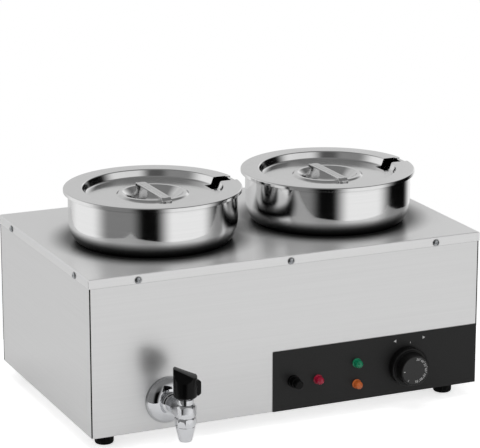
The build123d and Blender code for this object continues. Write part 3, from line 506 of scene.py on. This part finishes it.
def tap_casting():
    """Neck with its ring, hexagon, faceted collar and conical spout, in one plated casting."""
    outline = softened([(0, 0, 0), (13.2, 0, 0), (14.2, 1.2, 0.8), (14.2, 3.4, 0.8), (13.2, 4.4, 0.4),
                        (11.6, 5.2, 0.6), (11.0, 7, 0.8), (11.0, 38, 0), (0, 38, 0)])
    neck = turned("neck", outline, steps=64)
    settled(neck, at=(0, TAP_FRONT_Y, 0), turn=TO_FRONT)
    top = 13.5
    foot = -4.0
    low = -17.0
    end = -38.0
    hexagon = prism("hexagon", 6, 26, foot, top)
    settled(hexagon, turn=(0, 0, radians(-13)))
    chamfer = turned("chamfer", [(0, foot), (13.4, foot), (15.1, foot + 2.6), (15.1, top - 4.2), (11.5, top),
                                 (0, top)], steps=96)
    cut(hexagon, chamfer, "INTERSECT")
    rounded(hexagon, 0.5, 2)
    collar = prism("collar", 8, 26.8, low, foot)
    chamfer = turned("chamfer", [(0, low), (12.9, low), (14.3, low + 2.5), (14.3, foot - 2), (12.6, foot),
                                 (0, foot)], steps=96)
    cut(collar, chamfer, "INTERSECT")
    rounded(collar, 0.5, 2)
    outline = softened([(5, low + 1, 0), (12.6, low + 1, 0), (13.1, low - 0.4, 0.5), (8.8, end + 1.2, 0),
                        (8.2, end, 0.5), (5.6, end, 0.3), (5, end + 1, 0)])
    spout = turned("spout", outline, steps=64)
    casting = joined("tap_casting", [neck, hexagon, collar, spout])
    settled(casting, at=(TAP.x, TAP.y, TAP_Z))
    shaded(casting, 28)
    return finished(casting, "cabinet", "chrome", CHROME, "tap_body")


escutcheon()
tap_casting()


def bonnet():
    """Turned ring nut under the knob."""
    outline = softened([(4.1, 10, 0), (8, 10, 0), (8, 13.5, 0), (10.9, 13.5, 0.3), (10.9, 20.2, 0.4),
                        (10.1, 21.2, 0), (10.1, 22.5, 0.3), (4.1, 22.5, 0)])
    ring = turned("tap_bonnet_ring", outline, steps=64)
    settled(ring, at=(TAP.x, TAP.y, TAP_Z))
    shaded(ring)
    return finished(ring, "cabinet", "chrome", CHROME, "tap_bonnet")


def knob():
    """Moulded lever knob: round skirt, tall wing with a sloping crest, and a stop lug."""
    r = 15.8
    foot = 23.0
    tall = 39.0
    outline = softened([(0, foot, 0), (r, foot, 2.2), (r, foot + tall, 0), (0, foot + tall, 0)])
    body = turned("tap_knob_moulding", outline, steps=96)
    lean = Matrix.Rotation(radians(-32), 4, "Z")
    slope = block("slope", (90, 90, 60), (0, 0, 30))
    crest = Matrix.Translation((0, 0, (foot + tall - 5.5) * MM))
    slope.matrix_world = crest @ lean @ Matrix.Rotation(radians(20), 4, "Y")
    settled(slope)
    cut(body, slope)
    for y, z in ((34, foot + tall + 3), (-33, foot + tall + 5)):
        scoop = started("scoop", "cylinder", vertices=96, radius=28 * MM, depth=80 * MM,
                        rotation=(0, radians(90), 0))
        settled(scoop)
        scoop.matrix_world = lean @ Matrix.Translation((0, y * MM, z * MM))
        settled(scoop)
        cut(body, scoop)
    rounded(body, 0.9, 3, 25)
    lug = block("lug", (9.5, 9, 22), (r + 0.7, 0, foot + 11))
    for z in (foot, foot + 22):
        corner = block("corner", (4.24, 12, 4.24))
        settled(corner, turn=(0, radians(45), 0))
        settled(corner, at=(r + 5.45, 0, z))
        cut(lug, corner)
    rounded(lug, 1.2, 3)
    body = joined("tap_knob_moulding", [body, lug])
    settled(body, at=(TAP.x, TAP.y, TAP_Z))
    shaded(body, 30)
    return finished(body, "tap_lever", "black_plastic", KNOB_BLACK, "tap_knob")


bonnet()
knob()


# Control panel

DIAL = middle("thermostat_dial")
PLATE_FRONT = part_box("control_panel")[0].y / MM


def dial():
    """Moulded dial: skirt with a rounded rim, barrel, and a printed face let into its front."""
    outline = softened([(0, 5, 0), (22.5, 5, 0), (22.5, 1, 0), (27.5, 1, 0.3), (27.5, 13, 2.2),
                        (22.9, 12.4, 0.8), (21.5, 28, 1.2), (20.1, 28, 0), (20.1, 27.6, 0), (0, 27.6, 0)])
    barrel = turned("thermostat_dial_moulding", outline, steps=96)
    settled(barrel, at=(DIAL.x, PLATE_FRONT, DIAL.z), turn=TO_FRONT)
    shaded(barrel)
    finished(barrel, "dial", "black_dial", DIAL_BLACK, "thermostat_dial")
    outline = softened([(0, 26.6, 0), (20.0, 26.6, 0), (20.0, 27.85, 0.2), (0, 27.85, 0)])
    face = turned("thermostat_dial_face", outline, steps=96)
    settled(face, at=(DIAL.x, PLATE_FRONT, DIAL.z), turn=TO_FRONT)
    shaded(face)
    finished(face, "dial", "black_dial", DIAL_FACE, "thermostat_dial")


def figure(text, angle, radius, size):
    """A printed number on the dial's face, upright towards the rim."""
    bpy.ops.object.select_all(action="DESELECT")
    bpy.ops.object.text_add()
    piece = bpy.context.object
    piece.name = f"dial_number_{text}"
    piece.data.body = text
    piece.data.align_x = "CENTER"
    piece.data.align_y = "CENTER"
    piece.data.size = size * MM
    piece.data.extrude = 0.03 * MM
    piece.data.resolution_u = 3
    bpy.ops.object.convert(target="MESH")
    settled(piece, at=(0, radius, 27.9))
    settled(piece, turn=(0, 0, angle))
    settled(piece, at=(DIAL.x, PLATE_FRONT, DIAL.z), turn=TO_FRONT)
    return finished(piece, "dial", "black_dial", INK)


def tick(name, angle, radius, length, width):
    """A printed tick on the dial's face."""
    piece = block(name, (width, length, 0.06), (0, radius, 27.9))
    settled(piece, turn=(0, 0, angle))
    settled(piece, at=(DIAL.x, PLATE_FRONT, DIAL.z), turn=TO_FRONT)
    return finished(piece, "dial", "black_dial", INK)


dial()
for i, text in enumerate(("30", "40", "50", "60", "70", "80", "85")):
    angle = -radians(12 + 27 * i)
    figure(text, angle, 15.8, 5.0)
    if i < 6:
        tick(f"dial_tick_{i + 1}", angle - radians(13.5), 17.6, 2.0, 0.5)
tick("dial_tick_off", radians(90), 17.2, 2.4, 0.9)
tick("dial_tick_low", radians(140), 17.2, 2.4, 0.6)


def arrow(name, x, z, towards):
    """A printed triangle on the panel above the dial."""
    piece = started(name, "cylinder", vertices=3, radius=2.6 * MM, depth=0.06 * MM)
    settled(piece, turn=(0, 0, radians(90 if towards < 0 else -90)))
    settled(piece, at=(x, PLATE_FRONT - 0.03, z), turn=TO_FRONT)
    return finished(piece, "cabinet", "black_panel", INK)


ARROW_Z = 97.9
arrow("mark_arrow_down", 160.5, ARROW_Z, -1)
arrow("mark_arrow_up", 204.5, ARROW_Z, 1)
index = block("mark_index", (0.9, 0.06, 2.2), (DIAL.x + 6, PLATE_FRONT - 0.03, 93.0))
finished(index, "cabinet", "black_panel", INK)


def lens(name, slot, finish):
    """Pilot lamp's lens: thin flange, straight skirt and dome."""
    outline = [(0, -1.2), (4.9, -1.2), (4.9, 0)]
    outline += softened([(6.7, 0, 0), (6.7, 1.2, 0.4), (5.7, 1.8, 0.3), (5.5, 7.2, 0)])
    outline += arc_through((5.5, 7.3), (3.9, 10.9), (0, 12.4), 10)
    piece = turned(f"{name}_moulding", outline, steps=48)
    at = middle(name)
    settled(piece, at=(at.x, PLATE_FRONT, at.z), turn=TO_FRONT)
    shaded(piece, 40)
    return finished(piece, "cabinet", slot, finish, name)


lens("lamp_green", "lens_green", GREEN_LENS)
lens("lamp_red", "lens_red", RED_LENS)
lens("lamp_orange", "lens_orange", ORANGE_LENS)


def reset():
    """Reset's round nut and its tapered cap."""
    at = middle("reset_lock_nut")
    outline = softened([(4.75, 0, 0), (8.5, 0, 0.2), (8.5, 4.6, 0.8), (4.75, 4.6, 0)])
    nut = turned("reset_nut_turned", outline, steps=64)
    settled(nut, at=(at.x, PLATE_FRONT, at.z), turn=TO_FRONT)
    shaded(nut)
    finished(nut, "cabinet", "black_plastic", KNOB_BLACK, "reset_lock_nut")
    outline = softened([(4.83, 5, 0), (7.2, 5, 0.5), (7.2, 11.5, 0.8), (6.3, 13, 0.6), (6.0, 21.5, 1.5),
                        (0, 21.5, 0), (0, 16, 0), (4.83, 16, 0)])
    cap = turned("reset_cap_turned", outline, steps=64)
    settled(cap, at=(at.x, PLATE_FRONT, at.z), turn=TO_FRONT)
    shaded(cap)
    finished(cap, "reset_cover", "black_plastic", KNOB_BLACK, "reset_cap")


reset()


# Skirt screws, feet and painted shade strips in the corner joints

def skirt_screws():
    """Ten pan-head screws with a cross recess, all copies of one that is modelled and then removed."""
    dome = arc_through((4.3, 1.17), (2.4, 2.25), (0, 2.6), 8)
    master = turned("skirt_screw", [(0, -1.0), (1.95, -1.0), (1.95, 0), (4.3, 0)] + dome, steps=40)
    for turn in (0, radians(90)):
        slot = block("slot", (4.6, 0.9, 2.4), (0, 0, 2.6))
        settled(slot, turn=(0, 0, turn + radians(20)))
        cut(master, slot)
    shaded(master, 40)
    low, high = (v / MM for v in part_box("deck"))
    mid = (low + high) / 2
    z = 232.5
    places = [((mid.x + x, low.y, z), TO_FRONT) for x in (-221, 0, 221)]
    places += [((mid.x + x, high.y, z), TO_BACK) for x in (-221, 0, 221)]
    places += [((low.x, mid.y + y, z), (0, radians(-90), 0)) for y in (-127, 127)]
    places += [((high.x, mid.y + y, z), (0, radians(90), 0)) for y in (-127, 127)]
    for i, (at, turn) in enumerate(places):
        twin = copied(master, f"skirt_screw_{i + 1}")
        settled(twin, at=at, turn=turn)
        finished(twin, "cabinet", "zinc_steel", ZINC, "deck_screws")
    bpy.data.objects.remove(master)


def rubber_feet():
    """Tapered rubber feet with a recess for the screw's head."""
    outline = softened([(2.15, 21, 0), (13.8, 21, 0.3), (12.75, 0, 3), (5.5, 0, 0.4), (5.5, 15, 0),
                        (2.15, 15, 0)])
    foot = turned("foot", outline, steps=64)
    shaded(foot)
    low, high = (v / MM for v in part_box("deck"))
    mid = (low + high) / 2
    for i, (sx, sy) in enumerate(((-1, -1), (1, -1), (-1, 1), (1, 1))):
        twin = copied(foot, f"rubber_foot_{i + 1}", (mid.x + sx * 257.5, mid.y + sy * 142.5, 0))
        finished(twin, "cabinet", "rubber_black", RUBBER, "feet")
    bpy.data.objects.remove(foot)


def corner_joints():
    """Dark strips that paint the shade of the thin gap in the joints where the side panels meet the front and
    the back one.
    """
    sides = [v.x / MM for v in (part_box("side_panel_left")[0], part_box("side_panel_right")[1])]
    faces = [v.y / MM for v in (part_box("front_panel")[0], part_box("back_panel")[1])]
    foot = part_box("front_panel")[0].z / MM
    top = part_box("deck")[0].z / MM
    for i, (x, y) in enumerate((x, y) for x in sides for y in faces):
        inward = -1 if x > 0 else 1
        # Painted shade: a dark strip stands in for the shaded gap in the corner's seam.
        strip = block(f"corner_joint_{i + 1}", (1.7, 1.2, top - foot - 1),
                      (x + inward * 0.5, y + (0.4 if y < 0 else -0.4), (top + foot) / 2))
        rounded(strip, 0.3)
        shaded(strip)
        finished(strip, "cabinet", "rubber_black", RUBBER)


skirt_screws()
rubber_feet()
corner_joints()


# Finishes of the pieces that keep their CAD shape

FINISHES = {
    BRUSHED_DECK: ["deck"],
    BRUSHED_PANEL: ["front_panel", "back_panel", "side_panel_left", "side_panel_right", "base_plate"],
    ZINC: ["base_screws", "foot_screws", "foot_nuts", "tap_lock_nut", "thermostat_screws", "terminal_screws",
           "earth_stud"],
    SATIN_TANK: ["water_tank", "level_probe", "drain_socket", "bulb_clip", "thermostat_shaft"],
    ELEMENT: ["heating_element"],
    BRASS: ["element_nuts", "tap_plug", "capillary_bulb", "capillary_nut"],
    PANEL_BLACK: ["control_panel"],
    KNOB_BLACK: ["cable_gland", "gland_dome_nut", "gland_lock_nut", "reset_button"],
    DIAL_BLACK: ["reset_switch", "lamp_holders"],
    RUBBER: ["tap_gasket", "gland_seal"],
    CERAMIC: ["thermostat_body", "terminal_block"],
}
for finish, nodes in FINISHES.items():
    for node in nodes:
        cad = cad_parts[node]
        if not cad.material_slots:
            cad.data.materials.append(finish)
        for place in cad.material_slots:
            place.material = finish


# Studio: pale floor, soft lamps, surroundings

FLOOR_GLOW = 0.62  # strength of the floor's own light to the camera
MIRRORED_GLOW = 0.12  # its strength to metal and through the lenses
SOFT_LIGHT = 0.35  # brightness of the surroundings to matt surfaces


def floor():
    """A small pale floor. The lamps light it, and a little light of its own brings it to white."""
    disc = started("studio_floor", "circle", vertices=96, radius=0.5, fill_type="NGON",
                   location=(0, 0, -0.0002))
    disc.scale = (0.96, 0.84, 1)
    settled(disc)
    finish, tree, shader, place = blank("matt_white_floor")
    shader.inputs["Roughness"].default_value = 0.9
    span = speckled(tree, place, (30, 30, 30), 2.0)[1]
    mix = add(tree, "ShaderNodeMix", {"Factor": span, 6: colour("#f3f3f3"), 7: colour("#f6f6f6")},
              data_type="RGBA")
    tree.links.new(mix.outputs[2], shader.inputs["Base Color"])
    ray = add(tree, "ShaderNodeLightPath")
    mirrored = add(tree, "ShaderNodeMath", {0: ray.outputs["Is Glossy Ray"],
                                            1: ray.outputs["Is Transmission Ray"]}, operation="ADD")
    faint = add(tree, "ShaderNodeMath", {0: mirrored.outputs[0], 1: MIRRORED_GLOW}, operation="MULTIPLY")
    glow = add(tree, "ShaderNodeMath", {0: ray.outputs["Is Camera Ray"], 1: FLOOR_GLOW, 2: faint.outputs[0]},
               operation="MULTIPLY_ADD")
    shader.inputs["Emission Color"].default_value = (1, 1, 1, 1)
    tree.links.new(glow.outputs[0], shader.inputs["Emission Strength"])
    disc.data.materials.append(finish)


def lamp(name, at, size, power, aim=(0, 0, 120)):
    """A square softbox. Its place and size are in metres, and the point it is aimed at is in millimetres."""
    light = bpy.data.lights.new(name, "AREA")
    light.size = size
    light.energy = power
    piece = bpy.data.objects.new(name, light)
    bpy.context.scene.collection.objects.link(piece)
    piece.location = Vector(at)
    piece.rotation_euler = (Vector(aim) * MM - Vector(at)).to_track_quat("-Z", "Y").to_euler()
    piece.visible_glossy = False
    return piece


# A plain studio: white screens, a pale back wall, one grey wall and two black flags. Each place is the angle
# from the camera's side, in degrees to the right, and neighbours ease into each other. The ceiling is grey,
# and what is high up takes on a quarter of the haze's tone.
SCREEN, PALE_WALL, GREY_WALL, FLAG = "#f5f5f5", "#d0d0d0", "#808080", "#080808"
CEILING, HAZE = "#6c6c6c", "#a6a6a6"
SURROUND = [(-180, PALE_WALL), (-150, PALE_WALL), (-120, SCREEN), (-90, SCREEN), (-60, GREY_WALL),
            (-30, GREY_WALL), (-10, FLAG), (5, FLAG), (30, SCREEN), (70, SCREEN), (100, FLAG), (130, FLAG),
            (160, SCREEN), (180, PALE_WALL)]


def surroundings():
    """White to the camera and through the lenses. To metal, bright and dark studio walls. To matt surfaces,
    an even soft light."""
    world = bpy.data.worlds.new("studio")
    bpy.context.scene.world = world
    world.use_nodes = True
    tree = world.node_tree
    tree.nodes.clear()
    way = add(tree, "ShaderNodeTexCoord").outputs["Generated"]
    turn = add(tree, "ShaderNodeMapping", {"Vector": way, "Rotation": (0, 0, CAMERA_HEADING)},
               vector_type="POINT")
    axes = add(tree, "ShaderNodeSeparateXYZ", {"Vector": turn.outputs["Vector"]})
    front = add(tree, "ShaderNodeMath", {0: axes.outputs["Y"], 1: -1.0}, operation="MULTIPLY")
    angle = add(tree, "ShaderNodeMath", {0: axes.outputs["X"], 1: front.outputs[0]}, operation="ARCTAN2")
    share = add(tree, "ShaderNodeMapRange", {"Value": angle.outputs[0], "From Min": -pi, "From Max": pi})
    walls = add(tree, "ShaderNodeValToRGB", {"Fac": share.outputs["Result"]})
    ramp = walls.color_ramp
    ramp.interpolation = "EASE"
    while len(ramp.elements) < len(SURROUND):
        ramp.elements.new(0.5)
    for stop, (place, code) in zip(ramp.elements, SURROUND):
        stop.position = (place + 180) / 360
        stop.color = colour(code)
    overhead = add(tree, "ShaderNodeMapRange", {"Value": axes.outputs["Z"], "From Min": 0.55,
                                                "From Max": 0.8})
    dome = add(tree, "ShaderNodeMix", {"Factor": overhead.outputs["Result"], 6: walls.outputs["Color"],
                                       7: colour(CEILING)}, data_type="RGBA")
    height = add(tree, "ShaderNodeMapRange", {"Value": axes.outputs["Z"], "From Min": 0.3, "From Max": 0.45,
                                              "To Max": 0.25})
    raised = add(tree, "ShaderNodeMix", {"Factor": height.outputs["Result"], 6: dome.outputs[2],
                                         7: colour(HAZE)}, data_type="RGBA")
    ray = add(tree, "ShaderNodeLightPath")
    soft = add(tree, "ShaderNodeMix", {"Factor": ray.outputs["Is Diffuse Ray"], 6: raised.outputs[2],
                                       7: (SOFT_LIGHT, SOFT_LIGHT, SOFT_LIGHT, 1)}, data_type="RGBA")
    through = add(tree, "ShaderNodeMath", {0: ray.outputs["Is Camera Ray"],
                                           1: ray.outputs["Is Transmission Ray"]}, operation="MAXIMUM")
    seen = add(tree, "ShaderNodeMix", {"Factor": through.outputs[0], 6: soft.outputs[2], 7: (1, 1, 1, 1)},
               data_type="RGBA")
    sky = add(tree, "ShaderNodeBackground", {"Color": seen.outputs[2], "Strength": 1.0})
    add(tree, "ShaderNodeOutputWorld", {"Surface": sky.outputs["Background"]})


floor()
lamp("softbox_overhead", (-0.3, -0.3, 2.2), 1.8, 19)
lamp("softbox_left", (-2.0, -1.6, 1.3), 1.2, 10)
lamp("softbox_right", (2.0, -1.8, 1.2), 1.2, 9)
surroundings()

# Camera, at the photograph's viewing angle

camera = bpy.data.cameras.new("camera")
camera.lens = 177.9
camera.sensor_width = 36
camera.clip_end = 50
eye = bpy.data.objects.new("camera", camera)
bpy.context.scene.collection.objects.link(eye)
eye.location = (-1.31426, -2.91943, 1.11677)
eye.rotation_euler = (pi / 2 - CAMERA_TILT, 0, -CAMERA_HEADING)
bpy.context.scene.camera = eye
bpy.context.scene.view_settings.view_transform = "Standard"
